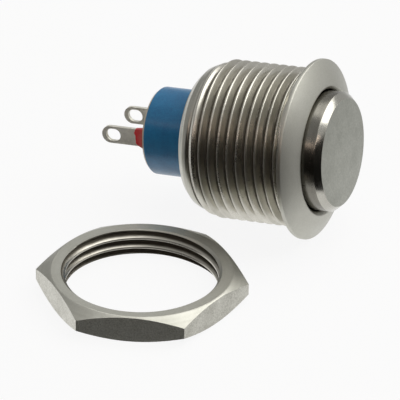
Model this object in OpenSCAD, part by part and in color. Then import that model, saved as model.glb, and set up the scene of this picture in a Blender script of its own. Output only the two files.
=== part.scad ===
// Momentary metal pushbutton switch for a 16 mm panel hole, lying beside its panel nut.
// Lengths are millimetres and angles are degrees.
// Each piece of the switch is drawn upright on its own axis. There z is zero at the flange's seat
// and grows toward the button's face. lay_down() then turns the piece as the switch lies on a table.

/* [Barrel] */
// Nominal diameter of the mounting thread
thread_nominal = 16; // [15.5:0.5:18]
// Pitch of the mounting thread
thread_pitch = 1; // [0.75:0.25:1.25]
// How much smaller than nominal the outer thread is turned
thread_allowance = 0.1; // [0.05:0.01:0.2]
// Distance from the seat to the middle of the first crest behind it
first_crest = 0.47; // [0.45:0.01:0.7]
// Length of the barrel behind the flange
barrel_length = 11.6; // [11:0.1:16]
// Size of the chamfer that leads the nut onto the rear end
lead_chamfer = 1.45; // [0.6:0.05:1.5]
// Diameter of the flange
flange_d = 18; // [17.5:0.25:24]
// Thickness of the flange at its rim
flange_rim = 0.4; // [0.2:0.05:0.8]
// Height of the bezel's inner edge above the seat
bezel_rise = 1.5; // [1.2:0.05:2.2]
// Diameter of the bezel's inner edge
bezel_inner_d = 13.1; // [12.9:0.05:14]
// Width of the flat land on the bezel's inner edge
bezel_land = 0.1; // [0.05:0.05:0.2]
// Diameter of the mouth that the button's head sinks into
mouth_d = 12.2; // [11.6:0.05:12.5]
// Thickness of the web that guides the button's stem
web_t = 2.75; // [2.4:0.05:3]
// Wall between the thread's root and the module's chamber
barrel_wall = 0.75; // [0.5:0.05:0.8]
// Width of the step that stops the module
module_step = 0.4; // [0.3:0.05:0.6]
// Thickness of the rolled rear lip
lip_t = 0.4; // [0.3:0.05:0.6]
// How far the rolled lip reaches in over the housing
lip_reach = 0.7; // [0.4:0.05:1]

/* [Button] */
// Travel of the button from rest to fully pressed
travel = 1.2; // [0.8:0.05:1.3]
// Height of the button's face above the seat
button_rise = 3.25; // [3:0.05:4]
// Radial gap between the button's head and the mouth
head_gap = 0.15; // [0.1:0.01:0.25]
// Height of the bevel round the face
bevel_h = 0.6; // [0.3:0.05:0.8]
// Width of the bevel round the face
bevel_w = 0.55; // [0.3:0.05:0.8]
// Depth of the head's rear face below the seat
head_depth = 0.2; // [0.1:0.05:0.4]
// Gap left under the head when the button is fully pressed
stop_gap = 0.05; // [0.03:0.01:0.2]
// Diameter of the stem
stem_d = 8.9; // [8.6:0.05:9.4]
// Radial running clearance of the stem in the web
stem_gap = 0.05; // [0.02:0.01:0.1]
// Depth of the seal's groove in the stem
seal_groove = 0.7; // [0.6:0.05:0.8]
// Distance from the head's stop face to the seal's groove
seal_offset = 0.25; // [0.15:0.05:0.4]
// Depth of the snap ring's groove in the stem
clip_groove = 0.65; // [0.4:0.05:0.7]
// Width of the snap ring
clip_width = 1.3; // [1:0.05:1.4]
// Thickness of the snap ring
clip_t = 0.5; // [0.4:0.05:0.6]
// Opening of the snap ring
clip_opening = 2.4; // [1.5:0.1:4]
// Length of the stem behind the snap ring
stem_tail = 0.7; // [0.5:0.05:1]
// Wall left between the deeper groove and the return spring's pocket
stem_wall = 0.65; // [0.5:0.05:0.75]
// Distance from the seat back to the pocket's end
pocket_end = 0.6; // [0.4:0.05:1]

/* [Module] */
// Diameter of the housing's neck
neck_d = 8.85; // [8.5:0.05:9.5]
// Length of the neck behind the barrel
neck_length = 4.9; // [4.5:0.05:7]
// Clearance round the contact bridge's corners in the neck
bridge_gap = 0.45; // [0.3:0.05:0.7]
// Rounding of the neck's rear edge
neck_round = 0.3; // [0.1:0.05:0.5]
// Thickness of the floor that holds the terminals
floor_t = 1.2; // [0.8:0.05:1.4]
// Depth of the sealing resin behind the floor
resin_depth = 0.8; // [0.5:0.05:1]
// Wall left round the sealing resin
resin_wall = 0.55; // [0.4:0.05:0.7]
// Thickness of the housing's flange inside the barrel
housing_flange_t = 1.5; // [1.2:0.05:1.6]
// Thickness of the lid over the contacts
lid_t = 0.8; // [0.6:0.05:1]
// Height of the lid's boss inside the return spring
lid_boss_h = 0.9; // [0.6:0.05:1]
// Radial clearance of the lid's boss inside the return spring
boss_play = 0.4; // [0.2:0.05:0.8]
// Thickness of the gasket between the lid and the barrel's step
gasket_t = 0.5; // [0.3:0.05:0.6]
// Width of the gasket
gasket_w = 1.3; // [1:0.05:1.6]
// Radial clearance of the lid and the housing in the barrel
module_gap = 0.05; // [0.02:0.01:0.1]

/* [Plunger] */
// Diameter of the plunger's spigot in the cap
spigot_d = 2; // [1.6:0.05:2.2]
// Length of the spigot
spigot_length = 1.5; // [1:0.1:2]
// Diameter of the plunger's shank inside the return spring
shank_d = 2.6; // [2.3:0.05:3]
// Diameter of the plunger's rod through the lid
rod_d = 1.5; // [1.3:0.05:1.7]
// Diameter of the plunger's rear end through the bridge
rod_end_d = 1.2; // [1:0.05:1.25]
// Depth of the rear clip's groove in the rod
rod_groove = 0.15; // [0.1:0.01:0.2]
// Length of the rod behind the rear clip
rod_tail = 0.3; // [0.2:0.05:0.35]
// Gap between the rear clip and the moving contacts
clip_gap = 0.25; // [0.15:0.05:0.4]
// Thickness of the rear clip
rod_clip_t = 0.3; // [0.2:0.05:0.35]
// Diameter of the washer that the contact spring pushes on
seat_washer_d = 3; // [2.8:0.05:3.4]
// Thickness of that washer
seat_washer_t = 0.2; // [0.15:0.05:0.3]
// Radial clearance between pieces that fit together inside
small_gap = 0.03; // [0.02:0.01:0.05]
// Gap between moving pieces where they pass each other
pass_gap = 0.2; // [0.15:0.05:0.3]

/* [Springs] */
// Wire diameter of the return spring
return_wire_d = 0.45; // [0.35:0.05:0.5]
// Radial clearance of the return spring in its pocket
spring_play = 0.35; // [0.2:0.05:0.6]
// Turns of the return spring
return_turns = 7; // [5:0.5:8]
// Wire diameter of the contact spring
contact_wire_d = 0.25; // [0.2:0.05:0.3]
// Outer diameter of the contact spring
contact_spring_d = 2.4; // [2.2:0.05:2.6]
// Turns of the contact spring
contact_turns = 4; // [3:0.5:5]

/* [Contacts] */
// Distance between the two terminals
terminal_spacing = 5.25; // [5.1:0.05:5.6]
// Turn of the terminal pair about the switch's axis
terminal_turn = 4; // [-30:1:30]
// How far the terminal pair sits off the switch's axis, along the terminals' width
terminal_rise = 0.12; // [0:0.01:0.2]
// Width of a terminal
terminal_w = 1.8; // [1.5:0.05:1.9]
// Thickness of a terminal
terminal_t = 0.4; // [0.3:0.05:0.5]
// Length of a terminal behind the housing
terminal_length = 5.35; // [4:0.05:7]
// Length of the solder eye
eye_length = 1.6; // [1.4:0.05:2]
// Width of the solder eye
eye_w = 1.3; // [1:0.05:1.35]
// Metal left between the eye and the terminal's end
eye_margin = 0.45; // [0.3:0.05:0.6]
// Distance from a terminal's inner face in to the middle of its contact
contact_inset = 0.4; // [0.38:0.01:0.5]
// Diameter of a contact's head
contact_d = 1.1; // [0.9:0.05:1.2]
// Height of a fixed contact's head
fixed_contact_h = 0.3; // [0.2:0.05:0.4]
// Height of a moving contact's head
moving_contact_h = 0.25; // [0.2:0.05:0.4]
// Diameter of a contact's shank
contact_shank_d = 0.6; // [0.5:0.05:0.7]
// Gap between the contacts at rest
contact_gap = 0.9; // [0.7:0.05:1]
// Thickness of the contact bridge
bridge_t = 0.25; // [0.2:0.05:0.35]
// Width of the contact bridge
bridge_w = 2; // [1.8:0.05:2.3]
// Length of the bridge past the middle of each contact
bridge_end = 0.75; // [0.7:0.05:0.9]
// Length of the red band on the near terminal
band_length = 1.75; // [0.5:0.05:2.5]
// Thickness of the red band
band_t = 0.1; // [0.05:0.05:0.2]
// Corner rounding of the red band
band_round = 0.15; // [0.1:0.05:0.2]

/* [Panel nut] */
// Width across the nut's flats
nut_flats = 18; // [17.75:0.25:22]
// Thickness of the nut
nut_t = 2.75; // [2.2:0.05:3.5]
// Distance of the round land on each face of the nut in from the flats
nut_land_inset = 0.14; // [0.05:0.01:0.6]
// Slope of the nut's corner chamfers
nut_chamfer_angle = 28; // [10:1:30]
// Size of the countersinks at the ends of the nut's thread
nut_countersink = 0.3; // [0.05:0.05:0.5]
// Place of the nut's middle along the switch's axis
nut_x = -9.65; // [-30:0.01:10]
// Place of the nut's middle to the side of the switch
nut_y = -19.05; // [-40:0.01:-18]
// Turn of the nut on the table
nut_turn = 17.7; // [0:0.1:60]

/* [Hidden] */
$fn = 64;
// Overlap of a cutting solid past the face that it cuts
cut = 1;

// A 60 degree thread: the height of its sharp triangle, and the flats on its crests and roots
flank_run = tan(30);
sharp_h = thread_pitch / (2 * flank_run);
crest_flat = thread_pitch / 8;
outer_depth = sharp_h * 17 / 24;
outer_flank = outer_depth * flank_run;
nut_thread_depth = sharp_h * 5 / 8;
nut_flank = nut_thread_depth * flank_run;

// Radii of the barrel, from the thread inward
thread_r = (thread_nominal - thread_allowance) / 2;
root_r = thread_r - outer_depth;
module_r = root_r - barrel_wall;
chamber_r = module_r - module_step;
lip_r = module_r - lip_reach;
flange_r = flange_d / 2;
bezel_r = bezel_inner_d / 2;
mouth_r = mouth_d / 2;
land_r = bezel_r - bezel_land;
stem_r = stem_d / 2;
guide_r = stem_r + stem_gap;

// Heights in the barrel
z_rear = -barrel_length;
z_lip = z_rear + lip_t;
z_lid_rear = z_lip + housing_flange_t;
z_lid_front = z_lid_rear + lid_t;
z_step = z_lid_front + gasket_t;
z_head_rear = -head_depth;
z_floor = z_head_rear - travel - stop_gap;
z_web = z_floor - web_t;

// The button's head, stem, grooves and pocket
head_r = mouth_r - head_gap;
face_r = head_r - bevel_w;
seal_groove_r = stem_r - seal_groove;
seal_wire_r = (guide_r - seal_groove_r) / 2 - small_gap / 2;
seal_mid_r = (guide_r + seal_groove_r) / 2;
z_seal = z_floor - seal_offset - seal_wire_r;
seal_half = seal_wire_r + small_gap;
clip_groove_r = stem_r - clip_groove;
z_stem_end = z_web - clip_t - stem_tail;
pocket_r = stem_r - max(seal_groove, clip_groove) - stem_wall;
return_spring_r = pocket_r - spring_play;
z_pocket = -pocket_end;

// The module and its contacts
terminal_half = terminal_spacing / 2;
contact_half = terminal_half - terminal_t / 2 - contact_inset;
bridge_half = contact_half + bridge_end;
neck_r = neck_d / 2;
cavity_r = norm([bridge_half, bridge_w / 2]) + bridge_gap;
resin_r = neck_r - resin_wall;
z_neck = z_rear - neck_length;
z_resin = z_neck + resin_depth;
z_cavity = z_resin + floor_t;
z_foot = z_cavity + terminal_t;
z_fixed = z_foot + fixed_contact_h;
z_moving = z_fixed + contact_gap;
z_bridge_rear = z_moving + moving_contact_h;
z_bridge_front = z_bridge_rear + bridge_t;
z_boss = z_lid_front + lid_boss_h;
z_washer_front = z_lid_rear - pass_gap;
z_washer_rear = z_washer_front - seat_washer_t;
z_shank_end = z_boss + travel + pass_gap;
z_clip_rear = z_bridge_rear - rod_clip_t;
z_rod_end = z_clip_rear - rod_tail;
z_terminal_end = z_neck - terminal_length;
rod_groove_r = rod_end_d / 2 - rod_groove;

// How the switch lies: on the flange's rear edge and on the last full crest of the thread
last_crest = floor((barrel_length - lead_chamfer - first_crest) / thread_pitch);
rest_z = -first_crest - last_crest * thread_pitch - crest_flat / 2;
lie_angle = atan((flange_r - thread_r) / -rest_z);
table_z = -flange_r * cos(lie_angle);

// The nut's radii
nut_minor_r = thread_nominal / 2 - nut_thread_depth;
nut_corner_r = nut_flats / 2 / cos(30);
nut_land_r = nut_flats / 2 - nut_land_inset;

// Turns an upright piece as the switch lies, with the button's end raised
module lay_down() {
  rotate([0, 90 - lie_angle, 0]) children();
}

// A piece of the terminal pair, turned with it about the switch's axis
module in_module() {
  lay_down() rotate([0, 0, -terminal_turn]) children();
}

module disc(r, z_low, z_high) {
  translate([0, 0, z_low]) cylinder(r = r, h = z_high - z_low);
}

module ring(r_in, r_out, z_low, z_high) {
  difference() {
    disc(r_out, z_low, z_high);
    disc(r_in, z_low - cut, z_high + cut);
  }
}

// A box centred on x and y
module slab(x, y, z_low, z_high) {
  translate([-x / 2, -y / 2, z_low]) cube([x, y, z_high - z_low]);
}

// One turn of an outer thread's ridge as outline points, from the seat's side to the rear
function crest_z(k) = -first_crest - k * thread_pitch;
function ridge_points(k) = [
  [root_r, crest_z(k) + crest_flat / 2 + outer_flank],
  [thread_r, crest_z(k) + crest_flat / 2],
  [thread_r, crest_z(k) - crest_flat / 2],
  [root_r, crest_z(k) - crest_flat / 2 - outer_flank]
];
crest_count = floor((barrel_length - first_crest - crest_flat / 2 - outer_flank) / thread_pitch) + 1;

// The outline of the barrel outside: bezel, flange, a plain collar at the seat, and the thread
barrel_points = concat(
  [[0, bezel_rise], [bezel_r, bezel_rise], [flange_r, flange_rim], [flange_r, 0], [thread_r, 0]],
  [[thread_r, crest_z(0)], [thread_r, crest_z(0) - crest_flat / 2]],
  [[root_r, crest_z(0) - crest_flat / 2 - outer_flank]],
  [for (k = [1 : crest_count - 1]) each ridge_points(k)],
  [[root_r, z_rear], [0, z_rear]]
);

// The outline of the barrel's hollow, from its rear mouth to the bezel
barrel_hollow_points = [
  [0, z_rear - cut], [lip_r, z_rear - cut], [lip_r, z_lip], [module_r, z_lip], [module_r, z_step],
  [chamber_r, z_step], [chamber_r, z_web], [guide_r, z_web], [guide_r, z_floor], [mouth_r, z_floor],
  [mouth_r, bezel_rise - land_r + mouth_r], [land_r, bezel_rise], [land_r, bezel_rise + cut], [0, bezel_rise + cut]
];

module lead_cutter() {
  edge = lead_chamfer + cut;
  rotate_extrude() polygon([
    [thread_r + cut, z_rear + edge],
    [thread_r - lead_chamfer - cut, z_rear - cut],
    [thread_r + cut, z_rear - cut]
  ]);
}

// Turned steel barrel with its flange, bezel, thread and the rear lip that is rolled over the housing
module barrel() {
  color("silver") lay_down() difference() {
    rotate_extrude() polygon(barrel_points);
    rotate_extrude() polygon(barrel_hollow_points);
    lead_cutter();
  }
}

// Turned steel button: head with a bevelled face, stem with two grooves, and a pocket for the return spring
module button_cap() {
  z_seal_front = z_seal + seal_half;
  z_seal_rear = z_seal - seal_half;
  z_clip_rear = z_web - clip_t;
  spigot_hole_r = spigot_d / 2 + small_gap;
  color("lightgray") lay_down() rotate_extrude() polygon([
    [0, button_rise], [face_r, button_rise], [head_r, button_rise - bevel_h], [head_r, z_head_rear],
    [stem_r, z_head_rear], [stem_r, z_seal_front], [seal_groove_r, z_seal_front], [seal_groove_r, z_seal_rear],
    [stem_r, z_seal_rear], [stem_r, z_web + small_gap], [clip_groove_r, z_web + small_gap],
    [clip_groove_r, z_clip_rear], [stem_r, z_clip_rear], [stem_r, z_stem_end], [pocket_r, z_stem_end],
    [pocket_r, z_pocket], [spigot_hole_r, z_pocket], [spigot_hole_r, z_pocket + spigot_length + small_gap],
    [0, z_pocket + spigot_length + small_gap]
  ]);
}

// Rubber ring in the stem's front groove
module stem_seal() {
  color("#202020") lay_down() translate([0, 0, z_seal])
    rotate_extrude() translate([seal_mid_r, 0]) circle(r = seal_wire_r);
}

// Open steel ring that keeps the button in the barrel
module stem_snap_ring() {
  inner_r = clip_groove_r + small_gap;
  outer_r = inner_r + clip_width;
  color("dimgray") lay_down() difference() {
    ring(inner_r, outer_r, z_web - clip_t, z_web);
    translate([outer_r / 2, 0, 0]) slab(outer_r, clip_opening, z_web - clip_t - cut, z_web + cut);
  }
}

// Places along a coil spring whose end turns lie flat; step runs from 0 to 1
end_turn = 0.6;
function coil_rise(step, turns) = min(1, max(0, (step * turns - end_turn) / (turns - 2 * end_turn)));
module coil_spring(outer_d, wire_d, turns, z_low, z_high) {
  steps = round(turns * 20);
  sides = 8;
  wire_r = wire_d / 2;
  mean_r = outer_d / 2 - wire_r;
  height = z_high - z_low - wire_d;
  points = [
    for (i = [0 : steps], j = [0 : sides - 1])
      let (turn = 360 * turns * i / steps, side = 360 * j / sides, r = mean_r + wire_r * cos(side))
        [r * cos(turn), r * sin(turn),
         z_low + wire_r + height * coil_rise(i / steps, turns) + wire_r * sin(side)]
  ];
  walls = [
    for (i = [0 : steps - 1], j = [0 : sides - 1])
      let (k = (j + 1) % sides, a = i * sides, b = a + sides) [a + j, a + k, b + k, b + j]
  ];
  first_end = [for (j = [0 : sides - 1]) sides - 1 - j];
  last_end = [for (j = [0 : sides - 1]) steps * sides + j];
  polyhedron(points = points, faces = concat(walls, [first_end, last_end]), convexity = 4);
}

// Coil spring that lifts the button
module return_spring() {
  color("gray") lay_down()
    coil_spring(2 * return_spring_r, return_wire_d, return_turns, z_lid_front, z_pocket);
}

// Moulded rod that carries the button's movement to the contact bridge
module plunger() {
  rod_r = rod_d / 2;
  end_r = rod_end_d / 2;
  color("ivory") lay_down() rotate_extrude() polygon([
    [0, z_pocket + spigot_length], [spigot_d / 2, z_pocket + spigot_length], [spigot_d / 2, z_pocket],
    [shank_d / 2, z_pocket], [shank_d / 2, z_shank_end], [rod_r, z_shank_end], [rod_r, z_washer_front],
    [end_r, z_washer_front], [end_r, z_bridge_rear], [rod_groove_r, z_bridge_rear], [rod_groove_r, z_clip_rear],
    [end_r, z_clip_rear], [end_r, z_rod_end], [0, z_rod_end]
  ]);
}

// Rubber gasket between the lid and the barrel's step
module lid_gasket() {
  outer_r = module_r - module_gap;
  color("#202020") lay_down() ring(outer_r - gasket_w, outer_r, z_lid_front, z_step);
}

// Moulded lid over the contacts, with a boss that centres the return spring
module contact_lid() {
  color("white") lay_down() difference() {
    union() {
      disc(module_r - module_gap, z_lid_rear, z_lid_front);
      disc(return_spring_r - return_wire_d - boss_play, z_lid_rear, z_boss);
    }
    disc(rod_d / 2 + small_gap, z_lid_rear - cut, z_boss + cut);
  }
}

// The slot that a terminal takes in a wall
module terminal_slot(side, gap, z_low, z_high) {
  translate([-terminal_rise, side * terminal_half, 0])
    slab(terminal_w + 2 * gap, terminal_t + 2 * gap, z_low, z_high);
}

// Blue moulded housing: a flange inside the barrel and a neck behind it
module module_housing() {
  color("steelblue") in_module() difference() {
    union() {
      disc(module_r - module_gap, z_lip, z_lid_rear);
      rotate_extrude() union() {
        translate([0, z_neck + neck_round]) square([neck_r, z_lid_rear - z_neck - neck_round]);
        translate([0, z_neck]) square([neck_r - neck_round, neck_round]);
        translate([neck_r - neck_round, z_neck + neck_round]) circle(r = neck_round);
      }
    }
    disc(cavity_r, z_cavity, z_lid_rear + cut);
    disc(resin_r, z_neck - cut, z_resin);
    for (side = [-1, 1]) terminal_slot(side, small_gap, z_resin - cut, z_cavity + cut);
  }
}

// Washer on the rod that the contact spring pushes on
module spring_washer() {
  color("gray") lay_down() ring(rod_end_d / 2 + small_gap, seat_washer_d / 2, z_washer_rear, z_washer_front);
}

// Small coil spring that presses the bridge onto the contacts
module contact_spring() {
  color("gray") lay_down()
    coil_spring(contact_spring_d, contact_wire_d, contact_turns, z_bridge_front, z_washer_rear);
}

// Brass strip that joins the two fixed contacts
module contact_bridge() {
  color("goldenrod") in_module() difference() {
    slab(bridge_w, 2 * bridge_half, z_bridge_rear, z_bridge_front);
    disc(rod_end_d / 2 + small_gap, z_bridge_rear - cut, z_bridge_front + cut);
    for (side = [-1, 1])
      translate([0, side * contact_half, 0])
        disc(contact_shank_d / 2 + small_gap, z_bridge_rear - cut, z_bridge_front + cut);
  }
}

// A silver contact on the bridge, with its shank through the strip
module bridge_contact(side) {
  color("gainsboro") in_module() translate([0, side * contact_half, 0]) {
    disc(contact_d / 2, z_moving, z_bridge_rear);
    disc(contact_shank_d / 2, z_moving, z_bridge_front);
  }
}

module bridge_contact_near() {
  bridge_contact(-1);
}

module bridge_contact_far() {
  bridge_contact(1);
}

// Open clip behind the bridge, in the rod's groove
module plunger_clip() {
  inner_r = rod_groove_r + small_gap;
  outer_r = contact_half - contact_d / 2 - clip_gap;
  color("dimgray") lay_down() difference() {
    ring(inner_r, outer_r, z_clip_rear, z_bridge_rear);
    translate([outer_r / 2, 0, 0]) slab(outer_r, inner_r, z_clip_rear - cut, z_bridge_rear + cut);
  }
}

// A flat blade with a round end and a solder eye, drawn in x and z
module terminal_blade() {
  half = terminal_w / 2;
  eye_r = eye_w / 2;
  eye_low = z_terminal_end + eye_margin + eye_r;
  rotate([90, 0, 0]) linear_extrude(height = terminal_t, center = true) difference() {
    union() {
      translate([0, z_terminal_end + half]) circle(r = half);
      translate([-half, z_terminal_end + half]) square([terminal_w, z_foot - z_terminal_end - half]);
    }
    translate([0, eye_low]) circle(r = eye_r);
    translate([0, eye_low + eye_length - eye_w]) circle(r = eye_r);
    translate([-eye_r, eye_low]) square([eye_w, eye_length - eye_w]);
  }
}

// A tinned terminal: the blade, and a foot that is bent in over the housing's floor to carry a contact
module terminal(side) {
  foot_in = contact_half - contact_d / 2;
  foot_length = terminal_half - foot_in;
  color("darkgray") in_module() difference() {
    union() {
      translate([-terminal_rise, side * terminal_half, 0]) terminal_blade();
      translate([-terminal_rise, side * (foot_in + foot_length / 2), 0])
        slab(terminal_w, foot_length, z_cavity, z_foot);
    }
    translate([0, side * contact_half, 0])
      disc(contact_shank_d / 2 + small_gap, z_cavity - cut, z_foot + cut);
  }
}

module terminal_near() {
  terminal(-1);
}

module terminal_far() {
  terminal(1);
}

// A silver contact on a terminal's foot
module fixed_contact(side) {
  color("gainsboro") in_module() translate([0, side * contact_half, 0]) {
    disc(contact_d / 2, z_foot, z_fixed);
    disc(contact_shank_d / 2, z_cavity, z_fixed);
  }
}

module fixed_contact_near() {
  fixed_contact(-1);
}

module fixed_contact_far() {
  fixed_contact(1);
}

// Cream resin that seals the terminals into the neck's rear end
module sealing_resin() {
  color("wheat") in_module() difference() {
    disc(resin_r, z_neck, z_resin);
    for (side = [-1, 1]) terminal_slot(side, 0, z_neck - cut, z_resin + cut);
  }
}

// Red lacquer band round the root of the near terminal
module polarity_band() {
  half_w = terminal_w / 2 + band_t - band_round;
  half_t = terminal_t / 2 + band_t - band_round;
  color("crimson") in_module() difference() {
    translate([-terminal_rise, -terminal_half, z_neck - band_length])
      linear_extrude(height = band_length) union() {
        square([2 * (half_w + band_round), 2 * half_t], center = true);
        square([2 * half_w, 2 * (half_t + band_round)], center = true);
        for (i = [-1, 1], j = [-1, 1]) translate([i * half_w, j * half_t]) circle(r = band_round);
      }
    terminal_slot(-1, 0, z_neck - band_length - cut, z_neck + cut);
  }
}

// One groove of the nut's inner thread, as a ring to cut away
module nut_groove(z) {
  mouth = crest_flat / 2 + nut_flank;
  bottom_r = nut_minor_r + nut_thread_depth;
  slope = cut * flank_run;
  translate([0, 0, z]) rotate_extrude() polygon([
    [nut_minor_r - cut, -mouth - slope], [bottom_r, -crest_flat / 2],
    [bottom_r, crest_flat / 2], [nut_minor_r - cut, mouth + slope]
  ]);
}

// One countersink of the nut, as a cone to cut away upward
module nut_sink(z, height) {
  translate([0, 0, z]) cylinder(r1 = nut_minor_r, r2 = nut_minor_r + height, h = height);
}

// Thin hexagon nut, flat on the table beside the switch, chamfered on both faces
module panel_nut() {
  edge_r = nut_corner_r + cut;
  drop = (edge_r - nut_land_r) * tan(nut_chamfer_angle);
  groove_count = floor((nut_t - 2 * nut_countersink) / thread_pitch);
  sink = nut_countersink + cut;
  color("silver") translate([nut_x, nut_y, table_z]) rotate([0, 0, nut_turn]) difference() {
    intersection() {
      cylinder(r = nut_corner_r, h = nut_t, $fn = 6);
      rotate_extrude() polygon([
        [0, 0], [nut_land_r, 0], [edge_r, drop], [edge_r, nut_t - drop], [nut_land_r, nut_t], [0, nut_t]
      ]);
    }
    disc(nut_minor_r, -cut, nut_t + cut);
    for (k = [0 : groove_count - 1])
      nut_groove(nut_t / 2 + (k - (groove_count - 1) / 2) * thread_pitch);
    nut_sink(nut_t - nut_countersink, sink);
    translate([0, 0, nut_countersink]) mirror([0, 0, 1]) nut_sink(0, sink);
  }
}

barrel();
button_cap();
stem_seal();
stem_snap_ring();
return_spring();
plunger();
lid_gasket();
contact_lid();
module_housing();
spring_washer();
contact_spring();
contact_bridge();
bridge_contact_near();
bridge_contact_far();
plunger_clip();
terminal_near();
terminal_far();
fixed_contact_near();
fixed_contact_far();
sealing_resin();
polarity_band();
panel_nut();
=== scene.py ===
"""A momentary metal pushbutton switch lying beside its panel nut, dressed over its fixed construction.

Sizes are millimetres unless a name says otherwise. Turned pieces are drawn upright on the switch's own
axis, with z zero at the flange's seat and growing toward the button's face, and are then laid down.
"""

from __future__ import annotations

import logging
import math
from dataclasses import dataclass
from enum import Enum
from typing import Callable, Iterable, Sequence

import bmesh
import bpy
from mathutils import Matrix, Vector


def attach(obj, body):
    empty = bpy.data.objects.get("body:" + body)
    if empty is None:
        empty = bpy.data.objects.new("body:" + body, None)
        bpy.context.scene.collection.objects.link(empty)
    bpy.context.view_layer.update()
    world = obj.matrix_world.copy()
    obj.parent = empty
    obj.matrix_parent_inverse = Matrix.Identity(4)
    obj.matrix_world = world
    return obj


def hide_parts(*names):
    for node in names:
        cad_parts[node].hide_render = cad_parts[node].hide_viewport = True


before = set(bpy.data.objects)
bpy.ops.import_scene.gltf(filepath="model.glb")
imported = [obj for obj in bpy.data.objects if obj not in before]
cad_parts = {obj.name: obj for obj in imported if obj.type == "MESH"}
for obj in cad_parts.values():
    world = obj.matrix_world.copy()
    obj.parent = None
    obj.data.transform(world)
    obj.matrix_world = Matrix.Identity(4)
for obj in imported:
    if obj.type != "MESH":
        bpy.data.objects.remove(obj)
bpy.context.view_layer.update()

LOG = logging.getLogger("switch")
MM = 0.001
TABLE_Z = -8.945894
LIE_ANGLE = math.radians(6.285761)
TERMINAL_TURN = math.radians(-4)
TO_METRES = Matrix.Scale(MM, 4)
LAY_DOWN = Matrix.Rotation(math.pi / 2 - LIE_ANGLE, 4, "Y")
IN_MODULE = LAY_DOWN @ Matrix.Rotation(TERMINAL_TURN, 4, "Z")


class Body(Enum):
    """The bodies that pieces ride on."""

    SWITCH = "switch_body"
    BUTTON = "button"
    BRIDGE = "bridge"


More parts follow.
